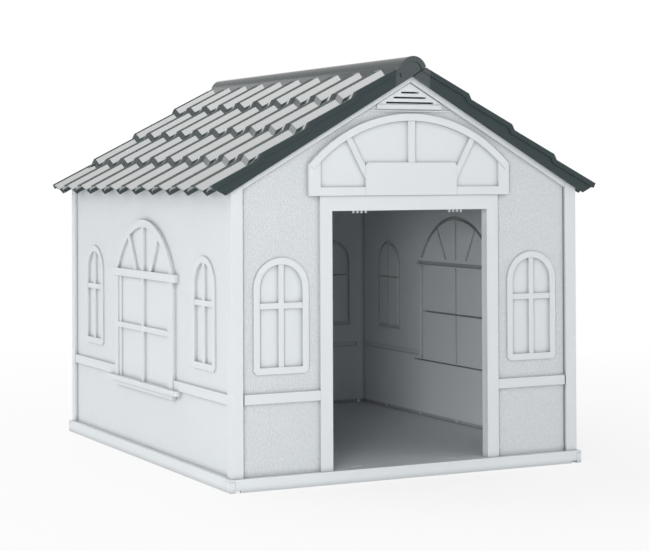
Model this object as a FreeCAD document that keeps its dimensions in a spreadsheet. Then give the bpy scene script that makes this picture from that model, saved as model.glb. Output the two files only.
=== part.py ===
import FreeCAD, Part
import math
import os
import re

# Flat-packed plastic dog house: a base tray, four corner posts, four moulded wall
# panels with arched windows, an arched panel over the doorway, louvred gable vents
# and a tiled roof in two halves that lifts off for cleaning.
# Millimetres, +Z up, front of the house towards -Y, origin under the middle of the base.

doc = FreeCAD.newDocument("dog_house")
sheet = doc.addObject("Spreadsheet::Sheet", "Sizes")

SIZES = {
    # base tray
    "base_width": 700.0,
    "base_depth": 840.0,
    "base_height": 22.4,
    "base_skin": 4.0,
    "base_rib": 4.0,
    "side_inset": 5.25,         # from the tray's edge in to the posts' flanks
    "end_inset": 6.6,           # from the tray's edge in to the posts' faces
    "foot_length": 9.0,         # corner foot, along the front
    "foot_flank": 20.0,         # corner foot, along the flank
    "foot_notch": 10.0,
    "notch_height": 4.0,
    "rib_pitch": 160.0,
    # posts and panels
    "fit": 0.3,                 # clearance between pieces that fit together
    "post_face": 22.0,
    "post_flank": 17.5,
    "post_leg": 5.7,
    "field_recess": 6.0,        # from a post's face back to the panels' fields
    "panel": 4.0,               # wall of a moulded panel
    "eave_height": 503.3,       # top of the walls at the posts' outer faces
    "wall_pitch": 30.0,         # degrees
    "rake_trim": 11.7,
    "seam": 2.5,                # groove in a gable panel beside its posts
    "rebate_height": 6.0,       # gap along the inner foot of a panel
    "rebate_depth": 3.0,
    "tab_length": 12.0,
    "tab_pitch": 150.0,
    "relief_back": 3.0,         # depth to which a raised frame is hollow behind
    "relief_wall": 3.5,         # wall left around such a hollow
    # belt rail
    "rail_foot": 144.0,
    "rail_height": 17.0,
    "rail_proud": 5.0,
    # doorway
    "door_width": 310.0,
    "door_head": 466.5,
    "door_trim": 23.0,
    "door_trim_proud": 5.5,
    "jamb_depth": 19.0,
    "jamb_wall": 5.0,
    # small arched window
    "pane_width": 80.0,
    "window_frame": 11.5,
    "window_foot": 192.5,
    "window_top": 389.0,
    "window_bar": 10.0,
    "window_bar_height": 302.5,
    "window_proud": 3.0,
    "window_chamfer": 5.5,
    "pane_sink": 2.5,
    "front_window_shift": 250.5,
    "side_window_shift": 284.0,
    # large window
    "arch_band": 14.4,
    "arch_rise": 95.8,
    "arch_span": 300.0,
    "large_width": 302.0,
    "large_jamb": 19.0,
    "large_step": 13.0,
    "large_proud": 7.0,
    "large_bar": 12.0,
    "large_sink": 5.0,
    "transom_foot": 237.4,
    "transom_height": 10.4,
    "header_foot": 336.5,
    "header_height": 14.5,
    "header_width": 331.0,
    "header_proud": 8.5,
    "sill_top": 143.8,
    "sill_width": 352.0,
    "sill_height": 9.5,
    "sill_proud": 13.0,
    "sill_step_width": 308.0,
    "sill_step_height": 8.3,
    "sill_step_proud": 9.0,
    "fan_angle": 29.0,          # degrees
    # arched panel over the doorway
    "arch_width": 400.0,
    "arch_foot": 492.5,
    "arch_bar": 14.8,
    "arch_end": 22.0,
    "arch_shoulder": 546.8,
    "arch_top": 635.2,
    "arch_rim": 12.4,
    "arch_proud": 3.0,          # in front of the posts' faces
    "arch_sink": 5.0,
    "arch_band_proud": 1.4,     # raised band along the arch, in front of the panel
    "arch_mullion": 14.0,
    "arch_spoke": 11.0,
    "arch_fan": 28.6,           # degrees
    "plate_width": 182.6,
    "plate_top": 550.0,
    "plate_round": 7.0,
    "plate_sheet": 3.0,
    # gable vent
    "vent_foot": 643.0,
    "vent_width": 130.0,
    "vent_peak": 689.0,
    "vent_sheet": 2.5,
    "vent_groove": 651.0,
    "vent_slot": 3.0,
    "vent_slot_pitch": 8.95,
    "vent_slot_low": 654.3,
    "vent_slot_length": 95.0,
    "vent_slot_step": 29.5,
    "ledge_foot": 638.5,
    "ledge_height": 2.5,
    "ledge_proud": 1.5,
    # roof
    "eave_overhang": 38.25,
    "rake_overhang": 10.6,      # from the posts' faces out to the roof's ends
    "rolls": 10.0,
    "courses": 4.0,
    "ridge_start": 22.2,
    "riser_run": 5.1,
    "riser_fall": 10.6,
    "ridge_lift": 29.1,         # tile crests above the walls' rake line, at the ridge
    "eave_lift": 23.2,          # the same at the posts' outer faces
    "roll_height": 19.5,
    "crest_run": 12.0,          # from a crest to the edge of its flat top
    "crest_drop": 1.2,
    "facet_run": 34.0,          # from a crest to the lower fold of its side
    "facet_drop": 11.2,
    "roof_sheet": 3.0,
    "roof_lap": 4.0,
    "rim_width": 9.0,
    "rim_depth": 6.0,
    "fascia_sink": 2.5,
    "fascia_sheet": 3.0,
    "fascia_cover": 1.3,        # fascia's lower edge under the walls' rake line
    "fascia_reach": 12.25,      # from the posts' flanks out to the fascia's lower corner
    "ridge_radius": 26.0,
    "ridge_wall": 3.5,
    "ridge_rise": 7.7,          # ridge roll's axis above the walls' peak
    "skirt_top": 8.0,           # ridge roll's skirt, above the roll's axis
    "skirt_fall": 17.0,
    "skirt_spread": 5.0,
    "skirt_sheet": 4.0,
    "crease": 1.2,              # groove along the top of the skirt
    "seam_rise": 12.0,          # seam of the halves in the roll's end: rise over seam_run
    "seam_run": 18.3,
    "seam_gap": 1.6,
    "seat_rib": 4.0,
    # pegs and sockets for an optional door
    "peg_shift": 96.0,
    "peg_width": 3.5,
    "peg_drop": 4.5,
    "peg_pitch": 8.0,
    "socket_length": 28.0,
    "socket_width": 8.0,
    "socket_depth": 1.2,
    "socket_back": 23.4,        # from the posts' faces back to a socket's middle
}
for row, (alias, value) in enumerate(SIZES.items(), 1):
    sheet.set("A%d" % row, alias)
    sheet.set("B%d" % row, str(value))
    sheet.setAlias("B%d" % row, alias)
doc.recompute()

# The walls' half width and half depth at the posts' outer faces, and the rake's peak.
HALF_WIDTH = "(base_width / 2 - side_inset)"
HALF_DEPTH = "(base_depth / 2 - end_inset)"
PEAK = "(eave_height + %s * tan(wall_pitch))" % HALF_WIDTH
INNER = "(field_recess + panel)"


def size(name):
    return float(getattr(sheet, name))


def tied(text):
    """An expression on the sheet, from one written with the sizes' plain names."""
    def prefix(found):
        word = found.group(0)
        return "Sizes." + word if word in SIZES else word
    return re.sub(r"[a-z_]+", prefix, str(text))


def bind(thing, **formulas):
    for key, text in formulas.items():
        thing.setExpression(key.replace("__", "."), tied(text))


def place(thing, x, y, z):
    bind(thing, Placement__Base__x=x, Placement__Base__y=y, Placement__Base__z=z)


def turn(thing, axis, angle):
    thing.Placement.Rotation = FreeCAD.Rotation(FreeCAD.Vector(*axis), angle)
    return thing


# ---------------------------------------------------------------- solids of the sheet's sizes
def box(name, length, width, height, x, y, z):
    """A block from its low corner, every size and place an expression."""
    block = doc.addObject("Part::Box", name)
    bind(block, Length=length, Width=width, Height=height)
    place(block, x, y, z)
    return block


def middle_box(name, length, width, height, x, y, z):
    """A block centred on x."""
    return box(name, length, width, height, "%s - (%s) / 2" % (x, length), y, z)


def disc(name, radius, depth, x, y, z):
    """A round that runs back from y along +Y."""
    drum = turn(doc.addObject("Part::Cylinder", name), (1, 0, 0), -90)
    bind(drum, Radius=radius, Height=depth)
    place(drum, x, y, z)
    return drum


def fused(name, parts):
    group = doc.addObject("Part::MultiFuse", name)
    group.Shapes = parts
    return group


def less(name, base, tools):
    rest = doc.addObject("Part::Cut", name)
    rest.Base = base
    rest.Tool = tools[0] if len(tools) == 1 else fused(name + "_tools", tools)
    return rest


def shared(name, first, second):
    overlap = doc.addObject("Part::MultiCommon", name)
    overlap.Shapes = [first, second]
    return overlap


def rake(name, peak, foot, depth, y):
    """A prism with the walls' rake on both sides, from foot up to peak on the middle line."""
    wedge = turn(doc.addObject("Part::Wedge", name), (1, 0, 0), 90)
    half = "((%s) - (%s)) / tan(wall_pitch)" % (peak, foot)
    bind(wedge, Xmin="-" + half, Xmax=half, X2min="0", X2max="0")
    bind(wedge, Ymin="0", Ymax="(%s) - (%s)" % (peak, foot))
    bind(wedge, Zmin="-(%s)" % depth, Zmax="0", Z2min="-(%s)" % depth, Z2max="0")
    place(wedge, "0", y, foot)
    return wedge


def gable(name, half, top, depth, y):
    """A gable outline: upright up to where the rake starts, under a peak of the height top."""
    shoulder = "((%s) - (%s) * tan(wall_pitch))" % (top, half)
    body = middle_box(name + "_body", "2 * (%s)" % half, depth, "%s - base_height" % shoulder,
                      "0", y, "base_height")
    return fused(name, [body, rake(name + "_rake", top, shoulder, depth, y)])


def arched(name, half, foot, spring, depth, x, y):
    """A window outline: a block under a half round."""
    body = middle_box(name + "_body", "2 * (%s)" % half, depth, "(%s) - (%s)" % (spring, foot),
                      x, y, foot)
    return fused(name, [body, disc(name + "_round", half, depth, x, y, spring)])


def segment(name, radius, centre, half, foot, depth, y):
    """The top of a round of the given radius, kept above foot and within half of the middle."""
    field = middle_box(name + "_field", "2 * (%s)" % half, depth,
                       "(%s) + (%s) - (%s) + 5" % (centre, radius, foot), "0", y, foot)
    return shared(name, field, disc(name + "_round", radius, depth, "0", y, centre))


def spokes(name, width, radius, depth, y, centre, angle):
    """Three bars from the arch's centre: upright, and leant by the fan angle to each side."""
    bars = []
    for key, side in (("left", -1), ("upright", 0), ("right", 1)):
        bar = doc.addObject("Part::Box", "%s_%s" % (name, key))
        bind(bar, Length=width, Width=depth, Height=radius)
        bar.Placement.Rotation = FreeCAD.Rotation(FreeCAD.Vector(0, 1, 0), side * size(angle))
        place(bar, "-(%s) / 2 * cos(%s)" % (width, angle) if side else "-(%s) / 2" % width, y,
              "(%s) + %d * (%s) / 2 * sin(%s)" % (centre, side, width, angle))
        bars.append(bar)
    return bars


def settle(thing, node, angle=0):
    """Names a finished piece and turns it about the upright to the side that it stands on."""
    thing.Label = node
    turn(thing, (0, 0, 1), angle)
    return thing


# ---------------------------------------------------------------- base tray
def base_tray():
    slab = box("tray_slab", "base_width", "base_depth", "base_height",
               "-base_width / 2", "-base_depth / 2", "0")
    cuts = [box("tray_hollow", "base_width - 2 * base_rib", "base_depth - 2 * base_rib",
                "base_height - base_skin", "base_rib - base_width / 2",
                "base_rib - base_depth / 2", "0")]
    for x_side in (-1, 1):
        middle = "%d * (base_width / 2 - foot_length - foot_notch / 2)" % x_side
        cuts.append(middle_box("tray_end_notch_%d" % x_side, "foot_notch", "base_depth + 2",
                               "notch_height", middle, "-base_depth / 2 - 1", "0"))
        middle = "%d * (base_depth / 2 - foot_length - foot_notch / 2) - foot_notch / 2" % x_side
        cuts.append(box("tray_flank_notch_%d" % x_side, "base_width + 2", "foot_notch",
                        "notch_height", "-base_width / 2 - 1", middle, "0"))
        cuts.append(middle_box("tray_socket_%d" % x_side, "socket_length", "socket_width",
                               "socket_depth + 1", "%d * peg_shift" % x_side,
                               "socket_back - socket_width / 2 - %s" % HALF_DEPTH,
                               "base_height - socket_depth"))
        for y_side in (-1, 1):
            cuts.append(middle_box(
                "tray_corner_%d_%d" % (x_side, y_side), "2 * (foot_length + fit)",
                "2 * (foot_flank + fit)", "base_height - base_skin + fit",
                "%d * base_width / 2" % x_side,
                "%d * base_depth / 2 - foot_flank - fit" % y_side, "0"))
    parts = [less("tray_shell", slab, cuts)]
    for step in (-2, -1, 0, 1, 2):
        parts.append(middle_box("tray_cross_rib_%d" % step, "base_width - 2 * base_rib",
                                "base_rib", "base_height - base_skin - notch_height + 1", "0",
                                "%d * rib_pitch - base_rib / 2" % step, "notch_height"))
        if abs(step) < 2:
            parts.append(middle_box("tray_long_rib_%d" % step, "base_rib",
                                    "base_depth - 2 * base_rib",
                                    "base_height - base_skin - notch_height + 1",
                                    "%d * rib_pitch" % step, "base_rib - base_depth / 2",
                                    "notch_height"))
        for x_side in (-1, 1):
            inner = "%d * (%s - %s + rebate_depth / 2)" % (x_side, HALF_WIDTH, INNER)
            parts.append(middle_box("tray_tab_%d_%d" % (step, x_side), "rebate_depth - 2 * fit",
                                    "tab_length", "rebate_height - fit + 1", inner,
                                    "%d * tab_pitch - tab_length / 2" % step, "base_height - 1"))
    return settle(fused("base_tray", parts), "base_tray")


def corner_foot(node, x_side, y_side):
    """A block that fills the tray's corner from the floor up to its skin."""
    foot = middle_box(node, "foot_length", "foot_flank", "base_height - base_skin",
                      "%d * (base_width / 2 - foot_length / 2)" % x_side,
                      "%d * (base_depth / 2 - foot_flank / 2) - foot_flank / 2" % y_side, "0")
    foot.Label = node
    return foot


# ---------------------------------------------------------------- corner posts
def walls_outline(name, grow="0"):
    """The whole house under the rake, out to the posts' faces, grown by a clearance."""
    return gable(name, "%s + (%s)" % (HALF_WIDTH, grow), "%s + 2 * (%s)" % (PEAK, grow),
                 "2 * (%s + (%s))" % (HALF_DEPTH, grow), "-%s - (%s)" % (HALF_DEPTH, grow))


def post(node, x_side, y_side):
    """An angle section that covers the joint of two panels, cut to the rake at its top."""
    def low_corner(side, half, width):
        return "%s - (%s)" % (half, width) if side > 0 else "-%s" % half

    height = "eave_height - base_height + post_face * tan(wall_pitch)"
    face = box(node + "_face", "post_face", "post_leg", height,
               low_corner(x_side, HALF_WIDTH, "post_face"),
               low_corner(y_side, HALF_DEPTH, "post_leg"), "base_height")
    flank = box(node + "_flank", "post_leg", "post_flank", height,
                low_corner(x_side, HALF_WIDTH, "post_leg"),
                low_corner(y_side, HALF_DEPTH, "post_flank"), "base_height")
    return settle(shared(node, fused(node + "_legs", [face, flank]),
                         walls_outline(node + "_under_rake")), node)


# ---------------------------------------------------------------- small arched windows
def small_window(name, x, grow, depth, y):
    """A window's outline, taken in from the frame's outside by grow."""
    half = "(pane_width / 2 + window_frame - (%s))" % grow
    spring = "(window_top - pane_width / 2 - window_frame)"
    return arched(name, half, "window_foot + (%s)" % grow, spring, depth, x, y)


def window_parts(name, x):
    """A window's raised frame with its inner relief, and the hollows that sink its panes."""
    front = "(field_recess - window_proud)"
    frame = small_window(name + "_frame", x, "0", "window_proud + panel", front)
    corners = []
    for side in (-1, 1):
        corner = doc.addObject("Part::Box", "%s_corner_%d" % (name, side + 1))
        bind(corner, Length="window_chamfer * sqrt(2)", Height="window_chamfer * sqrt(2)",
             Width="window_proud + 1")
        turn(corner, (0, 1, 0), -45)
        place(corner, "%s + %d * (pane_width / 2 + window_frame)" % (x, side),
              "%s - 1" % front, "window_foot - window_chamfer")
        corners.append(corner)
    raised = less(name + "_raised", frame, corners)
    swell = small_window(name + "_swell", x, "window_frame", "pane_sink + 1", "%s - 1" % INNER)
    pane = small_window(name + "_pane", x, "window_frame", "window_proud + pane_sink", front)
    upright = middle_box(name + "_upright", "window_bar", "panel + window_proud",
                         "window_top - window_foot", x, front + " + 1", "window_foot")
    bar = middle_box(name + "_bar", "pane_width + 2", "panel + window_proud", "window_bar",
                     x, front + " + 1", "window_bar_height")
    groove = less(name + "_groove",
                  small_window(name + "_groove_out", x, "relief_wall", "relief_back + 1",
                               "%s - relief_back" % INNER),
                  [small_window(name + "_groove_in", x, "window_frame - 1", "relief_back + 3",
                                "%s - relief_back - 1" % INNER)])
    slit = "(window_bar - 2 * relief_wall)"
    behind = "%s - pane_sink / 2" % INNER
    slits = [middle_box(name + "_slit", slit, "2 * pane_sink", "window_top - window_foot", x,
                        behind, "window_foot"),
             middle_box(name + "_cross_slit", "pane_width + 2", "2 * pane_sink", slit, x,
                        behind, "window_bar_height + relief_wall")]
    return [raised, swell], [less(name + "_panes", pane, [upright, bar]), groove] + slits


def rail_parts(name, length, middle):
    """A length of the belt rail, and the hollow behind it."""
    rail = middle_box(name, length, "rail_proud + 1", "rail_height", middle,
                      "field_recess - rail_proud", "rail_foot")
    hollow = middle_box(name + "_hollow", "%s - 2 * relief_wall" % length, "relief_back + 2",
                        "rail_height - 2 * relief_wall", middle, "%s - relief_back" % INNER,
                        "rail_foot + relief_wall")
    return rail, hollow


# ---------------------------------------------------------------- gable walls
def vent_outline(name, peak, foot, depth, y):
    return shared(name, rake(name + "_rake", peak, foot, depth, y),
                  middle_box(name + "_width", "vent_width", depth, "vent_peak - vent_foot + 5",
                             "0", y, foot))


def gable_wall(node, angle, doorway):
    """A gable panel from the outside, with its rake trim, windows and belt rail."""
    half = "(%s - post_leg - fit)" % HALF_WIDTH
    clear = "(%s - post_face - fit)" % HALF_WIDTH
    parts = [gable(node + "_field", half, PEAK, "panel", "field_recess")]
    foot = "(%s - rake_trim - %s * tan(wall_pitch))" % (PEAK, clear)
    trim = shared(node + "_trim_outside", rake(node + "_trim_rake", PEAK, foot, "field_recess", "fit"),
                  middle_box(node + "_trim_width", "2 * " + clear, "field_recess",
                             "%s - %s" % (PEAK, foot), "0", "fit", foot))
    parts.append(less(node + "_trim", trim, [rake(node + "_trim_inside", "%s - rake_trim" % PEAK,
                                                  foot, "field_recess + 2", "-1")]))
    ledge = "2 * (%s - rake_trim - ledge_foot - ledge_height) / tan(wall_pitch)" % PEAK
    parts.append(middle_box(node + "_ledge", ledge, "ledge_proud + 1", "ledge_height", "0",
                            "field_recess - ledge_proud", "ledge_foot"))
    cuts = []
    for side in (-1, 1):
        added, sunk = window_parts("%s_window_%d" % (node, side), "%d * front_window_shift" % side)
        parts += added
        cuts += sunk
        cuts.append(middle_box("%s_seam_%d" % (node, side), "seam", "seam + 7",
                               "%s - base_height" % foot,
                               "%d * (%s - post_face - seam / 2)" % (side, HALF_WIDTH),
                               "field_recess - 7", "base_height"))
        inner = "(door_width / 2 + door_trim - 1)" if doorway else "0"
        length = "(%s - post_face - seam - %s)" % (HALF_WIDTH, inner)
        rail, hollow = rail_parts("%s_rail_%d" % (node, side), length,
                                  "%d * (%s + %s / 2)" % (side, inner, length))
        parts.append(rail)
        cuts.append(hollow)
    cuts.append(vent_outline(node + "_vent_hole", "vent_peak - vent_sheet * 3",
                             "vent_slot_low - vent_slot", "panel + 2", "field_recess - 1"))
    if not doorway:
        cuts.append(middle_box(node + "_rebate", "2 * %s + 2" % half, "rebate_depth + 1",
                               "rebate_height", "0", "%s - rebate_depth" % INNER, "base_height"))
    if doorway:
        parts += door_surround(node)
        cuts.append(middle_box(node + "_doorway", "door_width", "jamb_depth + 2",
                               "door_head - base_height", "0", "-1", "base_height"))
    wall = less(node + "_moulding", fused(node + "_solid", parts), cuts)
    if doorway:
        wall = fused(node + "_with_pegs", [wall] + door_pegs(node))
    placed = settle(wall, node, angle)
    place(placed, "0", ("-1 * %s" if angle == 0 else "%s") % HALF_DEPTH, "0")
    return placed


def door_surround(node):
    """The trim on the outside of the doorway and the returns that line it."""
    width = "door_width + 2 * door_trim"
    front = "(field_recess - door_trim_proud)"
    lining = "door_width + 2 * jamb_wall"
    return [
        middle_box(node + "_door_trim", width, "door_trim_proud + panel",
                   "arch_foot - fit - base_height", "0", front, "base_height"),
        middle_box(node + "_door_lining", lining, "jamb_depth - %s" % front,
                   "door_head + jamb_wall - base_height", "0", front, "base_height"),
    ]


def door_pegs(node):
    """Two rows of short pegs under the head of the doorway, for an optional door."""
    pegs = []
    for side in (-1, 1):
        for step in (-3, -1, 1, 3):
            middle = "%d * peg_shift + %d * peg_pitch / 2" % (side, step)
            pegs.append(middle_box("%s_peg_%d_%d" % (node, side, step), "peg_width", "peg_width",
                                   "peg_drop + 1", middle, "jamb_depth / 2 + 2",
                                   "door_head - peg_drop"))
    return pegs


# ---------------------------------------------------------------- long walls
def long_wall(node, angle):
    half = "(%s - %s - fit)" % (HALF_DEPTH, INNER)
    top = "(eave_height + field_recess * tan(wall_pitch))"
    parts = [middle_box(node + "_field", "2 * " + half, "panel", "%s - base_height" % top, "0",
                        "field_recess", "base_height")]
    cuts = [middle_box(node + "_rebate", "2 * %s + 2" % half, "rebate_depth + 1",
                       "rebate_height", "0", "%s - rebate_depth" % INNER, "base_height")]
    for side in (-1, 1):
        added, sunk = window_parts("%s_window_%d" % (node, side), "%d * side_window_shift" % side)
        parts += added
        cuts += sunk
        length = "(%s - post_flank - fit - large_width / 2 + 1)" % HALF_DEPTH
        rail, hollow = rail_parts("%s_rail_%d" % (node, side), length,
                                  "%d * (large_width / 2 - 1 + %s / 2)" % (side, length))
        parts.append(rail)
        cuts.append(hollow)
    raised, sunk = large_window(node + "_large")
    parts += raised
    cuts += sunk
    placed = settle(less(node, fused(node + "_solid", parts), cuts), node, angle)
    place(placed, ("-1 * %s" if angle < 0 else "%s") % HALF_WIDTH, "0", "0")
    return placed


# ---------------------------------------------------------------- large window
ARCH_RADIUS = "((arch_span * arch_span / 4 + arch_rise * arch_rise) / 2 / arch_rise)"
ARCH_FOOT = "(header_foot + header_height)"
ARCH_CENTRE = "(%s + arch_rise - %s)" % (ARCH_FOOT, ARCH_RADIUS)


def window_solids(name, grow, depth, y):
    """Casing, header, arch and sill slab of the large window, all taken in by grow."""
    return [
        middle_box(name + "_casing", "large_width - 2 * (%s)" % grow, depth,
                   "header_foot - sill_top + 2", "0", y, "sill_top - 1"),
        middle_box(name + "_header", "header_width - 2 * (%s)" % grow, depth,
                   "header_height - 2 * (%s)" % grow, "0", y, "header_foot + (%s)" % grow),
        segment(name + "_arch", "%s - (%s)" % (ARCH_RADIUS, grow), ARCH_CENTRE,
                "arch_span / 2 - (%s)" % grow, ARCH_FOOT + " + (%s)" % grow, depth, y),
        middle_box(name + "_sill", "sill_width - 2 * (%s)" % grow, depth,
                   "sill_height - 2 * (%s)" % grow, "0", y,
                   "sill_top - sill_height + (%s)" % grow),
    ]


def large_openings(name, grow, depth, y):
    """The panes of the large window and of its fan, with their bars left standing."""
    bar = "(large_bar - 2 * (%s))" % grow
    deep = "(%s) + 2" % depth
    height = "header_foot - sill_top + 2 * (%s)" % grow
    upright = middle_box(name + "_upright", bar, deep, height, "0", y + " - 1",
                         "sill_top - (%s)" % grow)
    transom = middle_box(name + "_transom", "large_width", deep,
                         "transom_height - 2 * (%s)" % grow, "0", y + " - 1",
                         "transom_foot + (%s)" % grow)
    pane = middle_box(name + "_pane", "large_width - 2 * large_jamb + 2 * (%s)" % grow, depth,
                      height, "0", y, "sill_top - (%s)" % grow)
    fan = segment(name + "_fan", "%s - arch_band + (%s)" % (ARCH_RADIUS, grow), ARCH_CENTRE,
                  "arch_span / 2", ARCH_FOOT + " - (%s)" % grow, depth, y)
    bars = spokes(name + "_spoke", bar, ARCH_RADIUS, deep, y + " - 1", ARCH_CENTRE, "fan_angle")
    return [less(name + "_panes", pane, [upright, transom]), less(name + "_fan_panes", fan, bars)]


def large_window(name):
    """The raised solids of the large window, and its hollows outside and inside the wall."""
    front = "(field_recess - large_proud)"
    raised = window_solids(name, "0", "large_proud + 1", front)
    raised[1] = middle_box(name + "_header_front", "header_width", "header_proud + 1",
                           "header_height", "0", "field_recess - header_proud", "header_foot")
    raised[3] = middle_box(name + "_sill_front", "sill_width", "sill_proud + 1", "sill_height",
                           "0", "field_recess - sill_proud", "sill_top - sill_height")
    raised.append(middle_box(name + "_sill_step", "sill_step_width", "sill_step_proud + 1",
                             "sill_step_height", "0", "field_recess - sill_step_proud",
                             "sill_top - sill_height - sill_step_height"))
    sunk = large_openings(name + "_outside", "0", "large_sink + 5", front + " - 5")
    ledge = middle_box(name + "_pane_step", "large_width - 2 * (large_jamb - 1)", "large_sink - 2",
                       "header_foot - sill_top", "0", front + " + 2", "sill_top")
    inner_pane = middle_box(name + "_inner_pane", "large_width - 2 * (large_jamb + large_step)",
                            "large_sink", "header_foot - sill_top + 2", "0", front + " + 1",
                            "sill_top - 1")
    raised_step = less(name + "_step_frame", ledge, [inner_pane])
    sunk = [less(name + "_outside_sunk", fused(name + "_outside_both", sunk), [raised_step])]
    behind = front + " + relief_wall"
    depth = "(%s - %s + 1)" % (INNER, behind)
    hollow = less(name + "_hollow",
                  fused(name + "_hollow_body", window_solids(name + "_inside", "relief_wall",
                                                             depth, behind)),
                  large_openings(name + "_behind", "relief_wall", depth + " + 2",
                                 behind + " - 1"))
    return raised, sunk + [hollow]


# ---------------------------------------------------------------- arched panel and sign plate
PORCH_RISE = "(arch_top - arch_shoulder)"
PORCH_RADIUS = "((arch_width * arch_width / 4 + {0} * {0}) / 2 / {0})".format(PORCH_RISE)
PORCH_CENTRE = "(arch_top - %s)" % PORCH_RADIUS
PORCH_FRONT = "(-arch_proud)"


def plate_outline(name, grow, depth, y):
    """The sign plate's outline with its two rounded upper corners."""
    width = "(plate_width + 2 * (%s))" % grow
    foot = "arch_foot - (%s)" % grow
    top = "(plate_top + (%s))" % grow
    parts = [middle_box(name + "_low", width, depth, "%s - plate_round - (%s)" % (top, foot),
                        "0", y, foot),
             middle_box(name + "_high", width + " - 2 * plate_round", depth,
                        "%s - (%s)" % (top, foot), "0", y, foot)]
    for side in (-1, 1):
        parts.append(disc("%s_round_%d" % (name, side), "plate_round", depth,
                          "%d * (%s / 2 - plate_round)" % (side, width), y,
                          "%s - plate_round" % top))
    return fused(name, parts)


def arch_band():
    """The raised band along the arch, its ends cut square to it."""
    front = PORCH_FRONT + " - arch_band_proud"
    band = [segment("porch_band_%s" % key, PORCH_RADIUS + less_by, PORCH_CENTRE, "arch_width",
                    "arch_shoulder - 2 * arch_rim", depth, front + start)
            for key, less_by, depth, start in (("outside", "", "arch_band_proud + 1", ""),
                                               ("inside", " - arch_rim", "9", " - 4"))]
    rise = size("arch_top") - size("arch_shoulder")
    half = size("arch_width") / 2
    reach = math.degrees(math.asin(half / ((half ** 2 + rise ** 2) / 2 / rise)))
    ends = []
    for side in (-1, 1):
        end = doc.addObject("Part::Box", "porch_band_end_%d" % (side + 1))
        bind(end, Length="arch_width / 2", Width="9", Height="2 * arch_width")
        turn(end, (0, 1, 0), side * reach)
        shift = "0" if side > 0 else "-arch_width / 2 * %s(%.6f deg)"
        place(end, shift if side > 0 else shift % ("cos", reach), front + " - 4",
              PORCH_CENTRE if side > 0 else
              PORCH_CENTRE + " - arch_width / 2 * sin(%.6f deg)" % reach)
        ends.append(end)
    return less("porch_band", band[0], [band[1]] + ends)


def arch_panel():
    depth = "(arch_proud + field_recess - fit)"
    body = segment("porch_body", PORCH_RADIUS, PORCH_CENTRE, "arch_width / 2", "arch_foot", depth,
                   PORCH_FRONT)
    fan = segment("porch_fan", PORCH_RADIUS + " - arch_rim", PORCH_CENTRE,
                  "arch_width / 2 - arch_end", "(arch_foot + arch_bar)", "arch_sink + 5",
                  PORCH_FRONT + " - 5")
    bars = spokes("porch_spoke", "arch_spoke", PORCH_RADIUS, depth, PORCH_FRONT + " + fit",
                  PORCH_CENTRE, "arch_fan")
    bars.append(middle_box("porch_mullion", "arch_mullion", depth, PORCH_RADIUS, "0",
                           PORCH_FRONT + " + fit", PORCH_CENTRE))
    bars.append(plate_outline("porch_pad", "fit", depth, PORCH_FRONT + " + plate_sheet"))
    seat = plate_outline("porch_seat", "fit", "plate_sheet + 1", PORCH_FRONT + " - 1")
    panel = less("porch_panel", body, [less("porch_panes", fan, bars), seat])
    placed = settle(fused("arch_panel", [panel, arch_band()]), "arch_panel")
    place(placed, "0", "-%s" % HALF_DEPTH, "0")
    return placed


def sign_plate():
    plate = settle(plate_outline("sign_plate", "0", "plate_sheet", PORCH_FRONT), "sign_plate")
    place(plate, "0", "-%s" % HALF_DEPTH, "0")
    return plate


# ---------------------------------------------------------------- gable vents
def gable_vent(node, angle):
    front = "(field_recess - vent_sheet)"
    plate = vent_outline(node + "_plate", "vent_peak", "vent_foot", "vent_sheet", front)
    cuts = [middle_box(node + "_groove", "vent_width + 2", "1.5", "1", "0", front + " - 0.5",
                       "vent_groove")]
    for row in (0, 1, 2):
        length = "(vent_slot_length - %d * vent_slot_step - vent_slot)" % row
        level = "(vent_slot_low + %d * vent_slot_pitch)" % row
        cuts.append(middle_box("%s_slot_%d" % (node, row), length, "vent_sheet + 2",
                               "vent_slot", "0", front + " - 1", level + " - vent_slot / 2"))
        for side in (-1, 1):
            cuts.append(disc("%s_slot_%d_end_%d" % (node, row, side), "vent_slot / 2",
                             "vent_sheet + 2", "%d * %s / 2" % (side, length), front + " - 1",
                             level))
    placed = settle(less(node, plate, cuts), node, angle)
    place(placed, "0", ("-1 * %s" if angle == 0 else "%s") % HALF_DEPTH, "0")
    return placed


# ---------------------------------------------------------------- roof
# The tiled sheet is a rolled profile drawn out along each course's slope and each riser,
# which no primitive gives, so its solids are made by functions from the same sizes.
def crest_line():
    """Points of the roof's crests from the ridge down to the eave, x outward and z."""
    half = size("base_width") / 2 - size("side_inset")
    peak = size("eave_height") + half * math.tan(math.radians(size("wall_pitch")))
    eave = half + size("eave_overhang")
    courses = int(size("courses"))
    pitch = (eave - size("ridge_start")) / courses
    ridge_low = peak + size("ridge_lift")
    eave_low = size("eave_height") + size("eave_lift")
    fall = (ridge_low - eave_low) / half
    points = []
    for course in range(courses):
        upper = size("ridge_start") + pitch * course + size("riser_run")
        lower = size("ridge_start") + pitch * (course + 1)
        points.append((upper, ridge_low - fall * upper))
        points.append((lower, ridge_low - fall * (lower + size("riser_run")) + size("riser_fall")))
    return points


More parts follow.
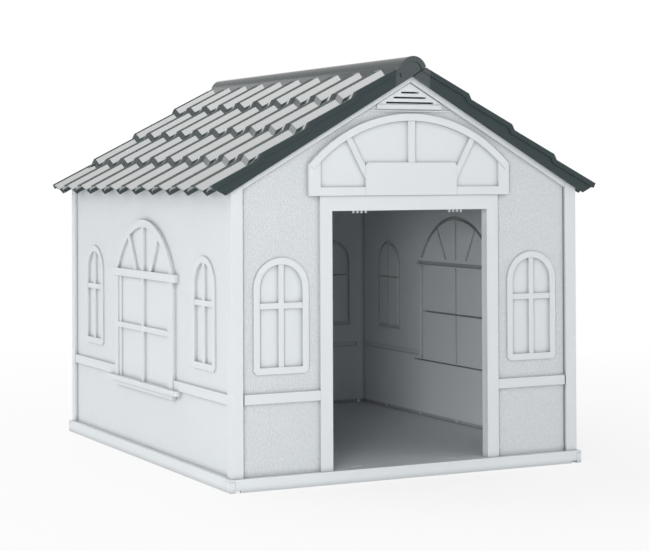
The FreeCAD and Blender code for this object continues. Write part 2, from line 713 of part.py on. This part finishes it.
def roll_face(x, z):
    """The rolled section at x: crests at z, both ends of the roof on a crest."""
    rolls = int(size("rolls"))
    end = size("base_depth") / 2 - size("end_inset") + size("rake_overhang")
    quarter = end / rolls / 2
    thick = size("roof_sheet")
    side = [(size("crest_run"), size("crest_drop")), (size("facet_run"), size("facet_drop")),
            (2 * quarter, size("roll_height"))]
    upper = []
    for roll in range(rolls + 1):
        crest = -end + 4 * quarter * roll
        rising = [] if roll == 0 else [(crest - run, z - drop) for run, drop in side[-2::-1]]
        falling = [] if roll == rolls else [(crest + run, z - drop) for run, drop in side]
        upper += rising + [(crest, z)] + falling
    outline = upper + [(y, height - thick) for y, height in reversed(upper)]
    corners = [FreeCAD.Vector(x, y, height) for y, height in outline]
    return Part.Face(Part.makePolygon(corners + corners[:1]))


def plate_between(points, y, depth):
    """A plate of the outline given by points of x and z, from y back by depth."""
    corners = [FreeCAD.Vector(x, y, z) for x, z in points]
    outline = Part.Face(Part.makePolygon(corners + corners[:1]))
    return outline.extrude(FreeCAD.Vector(0, depth, 0))


def inset_line(points, distance):
    """The line of points moved down square to itself, with mitred corners."""
    normals = []
    for (x_a, z_a), (x_b, z_b) in zip(points, points[1:]):
        length = math.hypot(x_b - x_a, z_b - z_a)
        normals.append(((z_b - z_a) / length, (x_a - x_b) / length))
    moved = []
    for index, (x, z) in enumerate(points):
        before = normals[max(index - 1, 0)]
        after = normals[min(index, len(normals) - 1)]
        shared_part = 1 + before[0] * after[0] + before[1] * after[1]
        moved.append((x + distance * (before[0] + after[0]) / shared_part,
                      z + distance * (before[1] + after[1]) / shared_part))
    return moved


def roof_half(node, side):
    """One half of the roof: tiled sheet, rims and fascias on its ends, and seat ribs."""
    points = crest_line()
    half = size("base_width") / 2 - size("side_inset")
    half_depth = size("base_depth") / 2 - size("end_inset")
    end = half_depth + size("rake_overhang")
    lean = math.tan(math.radians(size("wall_pitch")))
    peak = size("eave_height") + half * lean
    ridge_z = peak + size("ridge_rise")
    lap = size("roof_lap")
    pieces = []
    for course in range(0, len(points), 2):
        (x_a, z_a), (x_b, z_b) = points[course], points[course + 1]
        slope = (z_b - z_a) / (x_b - x_a)
        reach = size("ridge_radius") / 2 if course == 0 else lap
        section = roll_face(x_a - reach, z_a - reach * slope)
        pieces.append(section.extrude(FreeCAD.Vector(x_b - x_a + reach, 0,
                                                     slope * (x_b - x_a + reach))))
        if course + 2 < len(points):
            x_c, z_c = points[course + 2]
            pieces.append(roll_face(x_b, z_b).extrude(FreeCAD.Vector(x_c - x_b, 0, z_c - z_b)))

    # The line of the crests, carried up to the ridge.
    (x_a, z_a), (x_b, z_b) = points[0], points[1]
    start = (0.5 * size("fit"), z_a + (z_b - z_a) / (x_b - x_a) * (0.5 * size("fit") - x_a))
    line = [start] + points
    under = inset_line(line, size("rim_width"))
    middle = inset_line(line, size("rim_width") / 2)
    lower_end = half + size("fascia_reach")
    low = peak - size("fascia_cover")
    fascia = middle[:-1] + [middle[-1], (lower_end, low - lean * lower_end), (start[0], low)]
    rib = middle[:-2] + [(half - 5, points[-2][1] + (half - 5 - points[-2][0])
                          * (points[-1][1] - points[-2][1]) / (points[-1][0] - points[-2][0])
                          - size("rim_width")),
                         (half - 5, peak - lean * (half - 5)), (start[0], peak)]
    along = FreeCAD.Vector(0, 1, 0)
    radius = size("ridge_radius")
    eye_radius = radius - size("rim_width")

    def drum(drum_radius, low_y, high_y):
        return Part.makeCylinder(drum_radius, high_y - low_y,
                                 FreeCAD.Vector(0, low_y, ridge_z), along)

    # The seam of the halves in the roll's ends rises to the right from the fascias' peak.
    seam_top = (radius + 20) * size("seam_rise") / size("seam_run")
    seam = [(0, low), (radius + 20, low + seam_top), (radius + 20, low - 60), (0, low - 60)]
    gap = size("seam_gap")
    above_seam = [(0, low - gap), (radius + 20, low - gap + seam_top), (radius + 20, low + 90),
                  (-radius - 20, low + 90), (-radius - 20, low - gap)]
    ends = []
    for y_side in (-1, 1):
        outer = y_side * end
        rim = plate_between(line + under[::-1], outer, -y_side * size("rim_depth"))
        ends.append(rim.cut(drum(eye_radius, -end - 1, end + 1)))
        ends.append(plate_between(fascia, outer - y_side * size("fascia_sink"),
                                  -y_side * size("fascia_sheet")))
        pieces.append(plate_between(rib, y_side * half_depth, -y_side * size("seat_rib")))
    if side > 0:
        roll_room = drum(radius + size("fit"), -end - 1, end + 1)
        roll_room = roll_room.common(plate_between(above_seam, -end - 1, 2 * end + 2))
        ends = [plate.cut(roll_room) for plate in ends]
        pieces = [piece.cut(drum(radius + size("fit"), -end - 1, end + 1)) for piece in pieces]
    pieces += ends

    # The eave is cut square to the tiles.
    (x_a, z_a), (x_b, z_b) = points[-2], points[-1]
    angle = math.degrees(math.atan2(z_a - z_b, x_b - x_a))
    beyond = Part.makeBox(90, 2 * end + 20, 160, FreeCAD.Vector(0, -end - 10, -80))
    beyond.Placement = FreeCAD.Placement(FreeCAD.Vector(x_b, 0, z_b),
                                         FreeCAD.Rotation(FreeCAD.Vector(0, 1, 0), angle))

    shape = pieces[0].fuse(pieces[1:]).cut(beyond)
    if side < 0:
        plate_back = size("fascia_sink") + size("fascia_sheet")
        barrel = drum(radius, -end, end)
        barrel = barrel.cut(drum(radius - size("ridge_wall"), plate_back - end, end - plate_back))
        for low_y in (-end - 1, end - size("fascia_sink")):
            barrel = barrel.cut(drum(eye_radius, low_y, low_y + 1 + size("fascia_sink")))
        top = ridge_z + size("skirt_top")
        edge = math.sqrt(radius ** 2 - size("skirt_top") ** 2)
        spread = edge + size("skirt_spread")
        foot = top - size("skirt_fall")
        skirt = plate_between([(edge, top), (spread, foot), (spread - size("skirt_sheet"), foot),
                               (edge - size("skirt_sheet"), top - 2)],
                              -end + plate_back, 2 * (end - plate_back))
        below = [(-90, low - lean * 90), (0, low), (90, low - lean * 90), (90, low - 150),
                 (-90, low - 150)]
        half_crease = size("crease") / 2
        crease = plate_between([(edge - half_crease, top - half_crease),
                                (spread, top - half_crease), (spread, top + half_crease),
                                (edge - half_crease, top + half_crease)],
                               -end + plate_back, 2 * (end - plate_back))
        barrel = barrel.fuse(skirt).cut([crease, plate_between(below, -end - 1, 2 * end + 2)])
        # Mirrored with the half, the seam's cut comes to lie on the right.
        mirrored_seam = [(-x, z) for x, z in seam]
        below_rim = [under[0], under[1], (under[1][0], low - 60), (under[0][0], low - 60)]
        for y_side in (-1, 1):
            barrel = barrel.cut(plate_between(mirrored_seam, y_side * (end + 1),
                                              -y_side * (size("rim_depth") + size("fit") + 1)))
            barrel = barrel.cut(plate_between(below_rim, y_side * (end + 1),
                                              -y_side * (size("fascia_sink") + 1)))
        shape = shape.fuse(barrel)
        shape = shape.mirror(FreeCAD.Vector(0, 0, 0), FreeCAD.Vector(1, 0, 0))

    room_half = half + size("fit")
    room = [(-room_half, 0), (room_half, 0), (room_half, size("eave_height") + size("fit")),
            (0, peak + 2 * size("fit")), (-room_half, size("eave_height") + size("fit"))]
    shape = shape.cut(plate_between(room, -half_depth - size("fit"),
                                    2 * (half_depth + size("fit"))))
    solids = sorted(shape.Solids, key=lambda solid: solid.Volume)
    roof = doc.addObject("Part::Feature", node)
    roof.Shape = solids[-1]
    roof.Label = node
    print(node, "solids", [round(solid.Volume) for solid in solids])
    return roof


# ---------------------------------------------------------------- the whole house
def build():
    made = [base_tray()]
    for y_side, end in ((-1, "front"), (1, "back")):
        for x_side, hand in ((-1, "left"), (1, "right")):
            made.append(corner_foot("foot_%s_%s" % (end, hand), x_side, y_side))
            made.append(post("post_%s_%s" % (end, hand), x_side, y_side))
    made.append(gable_wall("front_wall", 0, True))
    made.append(gable_wall("back_wall", 180, False))
    for node, angle in (("left", -90), ("right", 90)):
        made.append(long_wall(node + "_wall", angle))
    made.append(arch_panel())
    made.append(sign_plate())
    made.append(gable_vent("front_vent", 0))
    made.append(gable_vent("back_vent", 180))
    doc.recompute()
    made.append(roof_half("roof_left", -1))
    made.append(roof_half("roof_right", 1))
    return made


finished = build()
faults = [thing.Name for thing in doc.Objects
          if "Invalid" in thing.State or "Error" in thing.State]
for thing in finished:
    if thing.Shape.isNull() or not thing.Shape.isValid():
        faults.append(thing.Label)
if faults:
    raise RuntimeError("not sound: " + ", ".join(faults))
os.makedirs("parts", exist_ok=True)
for thing in finished:
    thing.Shape.exportStep("parts/%s.step" % thing.Label)
    bounds = thing.Shape.BoundBox
    print("%-18s %2d solids  x %.1f %.1f  y %.1f %.1f  z %.1f %.1f" % (
        thing.Label, len(thing.Shape.Solids), bounds.XMin, bounds.XMax, bounds.YMin,
        bounds.YMax, bounds.ZMin, bounds.ZMax))
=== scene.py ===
import math

import bpy
from mathutils import Matrix, Vector


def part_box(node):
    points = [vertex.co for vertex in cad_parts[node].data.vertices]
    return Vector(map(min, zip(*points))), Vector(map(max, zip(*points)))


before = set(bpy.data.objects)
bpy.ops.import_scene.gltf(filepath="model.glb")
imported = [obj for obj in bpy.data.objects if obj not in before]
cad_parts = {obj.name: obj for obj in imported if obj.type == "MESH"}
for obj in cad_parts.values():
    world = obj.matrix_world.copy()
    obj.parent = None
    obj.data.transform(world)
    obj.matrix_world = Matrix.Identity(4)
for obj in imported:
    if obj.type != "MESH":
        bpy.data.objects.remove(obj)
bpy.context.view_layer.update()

# ------------------------------------------------------------------ walls and posts
# The walls, posts, arched panel, sign plate and vents are moulded in one pale, cool grey
# plastic with a satin skin. The fields of the gable panels carry a fine upright fleck from
# the mould, and those of the long panels a fainter one; trims, panes and posts are smooth.
# Their colour carries painted shade: darker in corners and joints, and in the low spots of the
# fleck.
WALL_COLOUR = (0.755, 0.79, 0.815)
FLECK_LENGTH = 0.0046
FLECK_WIDTH = 0.0025
# FLECK_SHADE is the depth of the painted shade in the low spots of the fleck.
FLECK_SHADE = 0.09
FLECK_RELIEF = 0.0008
FLANK_FLECK = 0.25
WALL_ROUGHNESS = 0.48
GRAIN_RELIEF = 0.0003
WALL_EDGE = 0.0007
# Reach and depth of the painted shade in corners and joints.
CREVICE = 0.013
CREVICE_SHADE = 0.62
FIELD_SINK = 0.006
POST_FACE_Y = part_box("post_front_left")[0][1]
POST_FACE_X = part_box("post_front_left")[0][0]


class Wire:
    """A shader socket that takes part in Python expressions."""

    def __init__(self, tree, socket):
        self.tree = tree
        self.socket = socket

    def _math(self, operation, first, second=None):
        node = self.tree.nodes.new("ShaderNodeMath")
        node.operation = operation
        for index, value in enumerate((first, second)):
            if isinstance(value, Wire):
                self.tree.links.new(value.socket, node.inputs[index])
            elif value is not None:
                node.inputs[index].default_value = value
        return Wire(self.tree, node.outputs[0])

    def __add__(self, other):
        return self._math("ADD", self, other)

    def __radd__(self, other):
        return self._math("ADD", other, self)

    def __sub__(self, other):
        return self._math("SUBTRACT", self, other)

    def __rsub__(self, other):
        return self._math("SUBTRACT", other, self)

    def __mul__(self, other):
        return self._math("MULTIPLY", self, other)

    def __rmul__(self, other):
        return self._math("MULTIPLY", other, self)

    def __lt__(self, other):
        return self._math("LESS_THAN", self, other)

    def __gt__(self, other):
        return self._math("GREATER_THAN", self, other)

    def __abs__(self):
        return self._math("ABSOLUTE", self)

    def ramp(self, low, high):
        """From 0 at low to 1 at high, held at both ends."""
        return self.via("ShaderNodeMapRange", {"clamp": True}, {0: self, 1: low, 2: high})

    def via(self, kind, settings, inputs, output=0):
        """The output of any other node, with its settings made first, then its sockets."""
        node = self.tree.nodes.new(kind)
        for key, value in settings.items():
            setattr(node, key, value)
        for key, value in inputs.items():
            if isinstance(value, Wire):
                self.tree.links.new(value.socket, node.inputs[key])
            else:
                node.inputs[key].default_value = value
        return Wire(self.tree, node.outputs[output])


def plastic(name, roughness, coat=0.0, coat_roughness=0.1):
    """A new material: its Principled shader, its tree and the object's coordinates."""
    material = bpy.data.materials.new(name)
    material.use_nodes = True
    tree = material.node_tree
    shader = tree.nodes["Principled BSDF"]
    shader.inputs["Roughness"].default_value = roughness
    shader.inputs["Coat Weight"].default_value = coat
    shader.inputs["Coat Roughness"].default_value = coat_roughness
    place = tree.nodes.new("ShaderNodeTexCoord")
    return material, shader, Wire(tree, place.outputs["Object"])


def plug(wire, shader, name):
    wire.tree.links.new(wire.socket, shader.inputs[name])


def scaled(place, x, y, z):
    return place.via("ShaderNodeVectorMath", {"operation": "MULTIPLY"}, {0: place, 1: (x, y, z)})


def tint(factor, dark, light):
    return factor.via("ShaderNodeMix", {"data_type": "RGBA"},
                      {0: factor, 6: (*dark, 1), 7: (*light, 1)}, 2)


def axis_of(place, index):
    return place.via("ShaderNodeSeparateXYZ", {}, {0: place}, index)


def softened(wire, radius):
    """The normal of an edge as the mould leaves it, a little rounded."""
    return wire.via("ShaderNodeBevel", {"samples": 6}, {"Radius": radius})


def painted_corner_shade(place, reach, depth):
    """Painted shade: 1 on open faces, less by up to depth in corners and joints narrower than
    reach.
    """
    open_part = place.via("ShaderNodeAmbientOcclusion", {"samples": 12}, {"Distance": reach}, 1)
    return open_part.ramp(0.15, 0.9) * depth + (1 - depth)


def wall_plastic(name, fleck_axis=None, fleck_at=0.0, strength=1.0):
    """Satin plastic with painted shade in corners, and with flecks on the plane that lies
    fleck_at from the middle on an axis.
    """
    material, shader, place = plastic(name, WALL_ROUGHNESS)
    mottle = place.via("ShaderNodeTexNoise", {}, {"Vector": place, "Scale": 9.0, "Detail": 3.0})
    # A faint random mottle, times painted shade in corners and joints.
    shade = (mottle * 0.03 + 0.97) * painted_corner_shade(place, CREVICE, CREVICE_SHADE)
    edge = softened(place, WALL_EDGE)
    if fleck_axis is None:
        grain = place.via("ShaderNodeTexNoise", {}, {"Vector": place, "Scale": 900.0})
        plug(tint(shade, (0, 0, 0), WALL_COLOUR), shader, "Base Color")
        bumped = place.via("ShaderNodeBump", {}, {"Strength": 0.10, "Distance": GRAIN_RELIEF,
                                                  "Height": grain, "Normal": edge})
        plug(bumped, shader, "Normal")
        return material
    off_plane = abs(abs(axis_of(place, fleck_axis)) - fleck_at)
    field = off_plane < 0.0004
    across = scaled(place, 1 / FLECK_WIDTH, 1 / FLECK_WIDTH, 1 / FLECK_LENGTH)
    flecks = place.via("ShaderNodeTexNoise", {"noise_dimensions": "3D"},
                       {"Vector": across, "Scale": 1.0, "Detail": 2.0, "Roughness": 0.6})
    # The fleck relief is a real bump; the colour in its low spots is painted shade.
    fleck_rise = flecks.ramp(0.38, 0.62)
    fleck_hollow_shade = 1 - field * (1 - fleck_rise) * (FLECK_SHADE * strength)
    plug(tint(shade * fleck_hollow_shade, (0, 0, 0), WALL_COLOUR), shader, "Base Color")
    plug(place.via("ShaderNodeBump", {}, {"Strength": 0.9, "Distance": FLECK_RELIEF * strength,
                                          "Height": fleck_rise * field, "Normal": edge}),
         shader, "Normal")
    return material


smooth_wall = wall_plastic("smooth_wall_plastic")
gable_field = wall_plastic("flecked_wall_plastic", 1, -POST_FACE_Y - FIELD_SINK)
flank_field = wall_plastic("flank_wall_plastic", 0, -POST_FACE_X - FIELD_SINK, FLANK_FLECK)


def dress(material, *nodes):
    for node in nodes:
        skin = bpy.data.objects[node]
        skin.data.materials.clear()
        skin.data.materials.append(material)


dress(gable_field, "front_wall", "back_wall")
dress(flank_field, "left_wall", "right_wall")
dress(smooth_wall, "post_front_left", "post_front_right", "post_back_left", "post_back_right",
      "arch_panel", "sign_plate", "front_vent", "back_vent")

# ------------------------------------------------------------------ base tray
# The tray is the same plastic as the walls, a shade lighter and smoother, moulded with its
# ribs below and standing on its edge.
TRAY_COLOUR = (0.775, 0.81, 0.835)
TRAY_ROUGHNESS = 0.42
MOULDED_EDGE = 0.0015
tray_plastic, tray_shader, tray_place = plastic("tray_plastic", TRAY_ROUGHNESS)
tray_grain = tray_place.via("ShaderNodeTexNoise", {}, {"Vector": tray_place, "Scale": 700.0})
tray_mottle = tray_place.via("ShaderNodeTexNoise", {}, {"Vector": tray_place, "Scale": 6.0})
# The tray's colour carries painted shade in corners and joints.
plug(tint((tray_mottle * 0.03 + 0.97) * painted_corner_shade(tray_place, CREVICE, CREVICE_SHADE), (0, 0, 0),
          TRAY_COLOUR), tray_shader, "Base Color")
plug(tray_place.via("ShaderNodeBump", {}, {"Strength": 0.08, "Distance": GRAIN_RELIEF,
                                           "Height": tray_grain,
                                           "Normal": softened(tray_place, MOULDED_EDGE)}),
     tray_shader, "Normal")
dress(tray_plastic, "base_tray", "foot_front_left", "foot_front_right", "foot_back_left",
      "foot_back_right")

# ------------------------------------------------------------------ roof
# Both halves of the roof, with their rims, fascias and ridge roll, are one dark slate-green
# plastic with a glossy skin, in which the tiles mirror the bright surround at a low angle.
# The folds along the crests and the troughs of the tiles are duller than their faces.
ROOF_COLOUR = (0.018, 0.036, 0.039)
ROOF_CREVICE_SHADE = 0.6
TILES_PER_COURSE = 10
TILE_PITCH = (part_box("roof_left")[1][1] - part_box("roof_left")[0][1]) / TILES_PER_COURSE
CREST_HALF = 0.011
TROUGH_FROM = 0.0335
RIDGE_HALF = 0.034
SKIN_ROUGHNESS = 0.13
SKIN_MOTTLE = 0.06
FOLD_ROUGHNESS = 0.35
FOLD_COAT_LOSS = 0.95
roof_plastic, roof_shader, roof_place = plastic("roof_plastic", SKIN_ROUGHNESS, 1.0, 0.06)
roof_mottle = roof_place.via("ShaderNodeTexNoise", {}, {"Vector": roof_place, "Scale": 12.0,
                                                        "Detail": 4.0})
# The roof's colour carries painted shade in corners and joints, besides a random mottle.
plug(tint((roof_mottle * 0.2 + 0.8) * painted_corner_shade(roof_place, CREVICE, ROOF_CREVICE_SHADE),
          (0, 0, 0), ROOF_COLOUR), roof_shader, "Base Color")
pitches = axis_of(roof_place, 1) * (1 / TILE_PITCH) + 0.5
to_crest = abs(pitches.via("ShaderNodeMath", {"operation": "FRACT"}, {0: pitches}) - 0.5)
on_tiles = abs(axis_of(roof_place, 0)) > RIDGE_HALF
folds = (to_crest * TILE_PITCH < CREST_HALF) + (to_crest * TILE_PITCH > TROUGH_FROM)
dulled = folds * on_tiles
plug(roof_mottle * SKIN_MOTTLE + SKIN_ROUGHNESS + dulled * FOLD_ROUGHNESS, roof_shader,
     "Roughness")
plug(1 - dulled * FOLD_COAT_LOSS, roof_shader, "Coat Weight")
roof_grain = roof_place.via("ShaderNodeTexNoise", {}, {"Vector": roof_place, "Scale": 400.0})
plug(roof_place.via("ShaderNodeBump", {}, {"Strength": 0.05, "Distance": GRAIN_RELIEF,
                                           "Height": roof_grain,
                                           "Normal": softened(roof_place, MOULDED_EDGE)}),
     roof_shader, "Normal")
dress(roof_plastic, "roof_left", "roof_right")

# ------------------------------------------------------------------ studio
# A pale floor inside a low, round, pale backdrop. The camera, the gloss and any glass see
# them white, but for the object's soft shadow on the floor. The light comes from a plain
# surround and from soft lamps: a key to the doorway's left, a low one under it that shines
# into the doorway, one beside the left wall, a fill to the right, and one over the back,
# which the tiles mirror.
FLOOR_RADIUS = 8.0
BACKDROP_HEIGHT = 3.2
BACKDROP_SIDES = 96
SHADOW_RADIUS = 0.5
WHITE_RADIUS = 2.2
WHITE_NEAR = 0.8
rim_points = [(FLOOR_RADIUS * math.cos(math.tau * side / BACKDROP_SIDES),
               FLOOR_RADIUS * math.sin(math.tau * side / BACKDROP_SIDES))
              for side in range(BACKDROP_SIDES)]
studio_mesh = bpy.data.meshes.new("studio_floor")
studio_mesh.from_pydata(
    [(x, y, 0.0) for x, y in rim_points] + [(x, y, BACKDROP_HEIGHT) for x, y in rim_points], [],
    [tuple(range(BACKDROP_SIDES))]
    + [(side, side + BACKDROP_SIDES, (side + 1) % BACKDROP_SIDES + BACKDROP_SIDES,
        (side + 1) % BACKDROP_SIDES) for side in range(BACKDROP_SIDES)])
floor = bpy.data.objects.new("studio_floor", studio_mesh)
bpy.context.scene.collection.objects.link(floor)
floor_paint, floor_shader, floor_place = plastic("studio_floor_paint", 0.9)
floor_shader.inputs["Base Color"].default_value = (0.93, 0.93, 0.93, 1)
floor_tree = floor_paint.node_tree
rays = floor_tree.nodes.new("ShaderNodeLightPath").outputs
seen = Wire(floor_tree, rays["Is Camera Ray"])
for kind in ("Is Glossy Ray", "Is Transmission Ray"):
    seen = seen._math("MAXIMUM", seen, Wire(floor_tree, rays[kind]))
distance = floor_place.via("ShaderNodeVectorMath", {"operation": "LENGTH"}, {0: floor_place}, 1)
whiteness = distance.ramp(SHADOW_RADIUS, WHITE_RADIUS) * (1 - WHITE_NEAR) + WHITE_NEAR
white = floor_place.via("ShaderNodeEmission", {}, {"Color": (1, 1, 1, 1), "Strength": 1.0})
lit = Wire(floor_tree, floor_shader.outputs[0])
painted = lit.via("ShaderNodeMixShader", {}, {0: seen * whiteness, 1: lit, 2: white})
plug(painted, floor_tree.nodes["Material Output"], "Surface")
studio_mesh.materials.append(floor_paint)

SURROUND_LIGHT = 0.47
world = bpy.data.worlds.new("studio_surround")
bpy.context.scene.world = world
world.use_nodes = True
sky = world.node_tree.nodes["Background"]
sky.inputs["Color"].default_value = (1, 1, 1, 1)
sky.inputs["Strength"].default_value = SURROUND_LIGHT


def soft_lamp(name, aim, place, size, power):
    """A square lamp at a place, turned to its aim."""
    lamp = bpy.data.lights.new(name, "AREA")
    lamp.shape = "SQUARE"
    lamp.size = size
    lamp.energy = power
    holder = bpy.data.objects.new(name, lamp)
    holder.location = place
    holder.rotation_euler = (Vector(aim) - Vector(place)).to_track_quat("-Z", "Y").to_euler()
    bpy.context.scene.collection.objects.link(holder)


soft_lamp("key_lamp", (0, 0, 0.35), (-3.3, -3.4, 1.9), 2.2, 26)
soft_lamp("door_lamp", (0.2, 0, 0.25), (-2.4, -3.5, 0.6), 0.9, 56)
soft_lamp("flank_lamp", (0, 0, 0.3), (-3.8, 2.6, 2.4), 2.4, 32)
soft_lamp("fill_lamp", (0, 0, 0.35), (3.6, -2.2, 1.6), 2.6, 12)
soft_lamp("roof_lamp", (-0.55, 1.6, 0), (-0.55, 1.6, 3.3), 2.0, 36)

# ------------------------------------------------------------------ camera
# The camera stands to the left of the doorway, about level with the eaves, and its frame is
# shifted down so that upright edges stay upright.
CAMERA_PLACE = Vector((-1.5303, -3.1407, 0.5236))
CAMERA_YAW = math.radians(26.53)
CAMERA_PITCH = math.radians(0.619)
CAMERA_ROLL = math.radians(-0.243)
FOCAL_PIXELS = 1783
FRAME_WIDTH = 650
FRAME_HEIGHT = 551
HORIZON_ROW = 158.5
ahead = Vector((math.sin(CAMERA_YAW) * math.cos(CAMERA_PITCH),
                math.cos(CAMERA_YAW) * math.cos(CAMERA_PITCH), math.sin(CAMERA_PITCH)))
level = Vector((math.cos(CAMERA_YAW), -math.sin(CAMERA_YAW), 0))
upward = level.cross(ahead)
right = math.cos(CAMERA_ROLL) * level + math.sin(CAMERA_ROLL) * upward
upward = -math.sin(CAMERA_ROLL) * level + math.cos(CAMERA_ROLL) * upward
lens = bpy.data.cameras.new("camera")
lens.sensor_fit = "HORIZONTAL"
lens.sensor_width = 36
lens.lens = FOCAL_PIXELS / FRAME_WIDTH * lens.sensor_width
lens.shift_y = (HORIZON_ROW - FRAME_HEIGHT / 2) / FRAME_WIDTH
lens.clip_end = 200
camera = bpy.data.objects.new("camera", lens)
camera.matrix_world = Matrix.Translation(CAMERA_PLACE) @ Matrix(
    (right, upward, -ahead)).transposed().to_4x4()
bpy.context.scene.collection.objects.link(camera)
bpy.context.scene.camera = camera
bpy.context.scene.view_settings.view_transform = "Standard"
